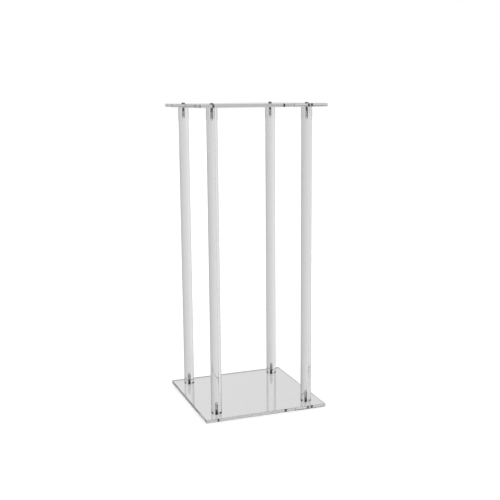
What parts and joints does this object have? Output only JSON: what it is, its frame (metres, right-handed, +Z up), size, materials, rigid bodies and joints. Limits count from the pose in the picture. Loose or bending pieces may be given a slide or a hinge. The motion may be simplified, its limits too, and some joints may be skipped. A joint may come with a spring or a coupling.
{
  "type": "clear pedestal stand",
  "caption": "Tall open pedestal stand: square clear plates at top and bottom, joined near their corners by clear round rods with a screw into each end.",
  "frame": {"origin": "middle of the base plate's underside, on the floor", "axes": "+Z up; the plates' sides lie along X and Y, and -Y is called the front"},
  "size_m": [0.381, 0.381, 0.9178],
  "materials": {
    "clear_acrylic": "polished clear acrylic, colourless with a faint grey tint at its edges",
    "bright_steel": "bright plated steel"
  },
  "bodies": {
    "root": {"base_plate": "clear_acrylic", "top_plate": "clear_acrylic", "front_left_rod": "clear_acrylic", "front_right_rod": "clear_acrylic", "rear_right_rod": "clear_acrylic", "rear_left_rod": "clear_acrylic", "top_screw_front_left": "bright_steel", "top_screw_front_right": "bright_steel", "top_screw_rear_right": "bright_steel", "top_screw_rear_left": "bright_steel", "base_screw_front_left": "bright_steel", "base_screw_front_right": "bright_steel", "base_screw_rear_right": "bright_steel", "base_screw_rear_left": "bright_steel"}
  },
  "joints": []
}
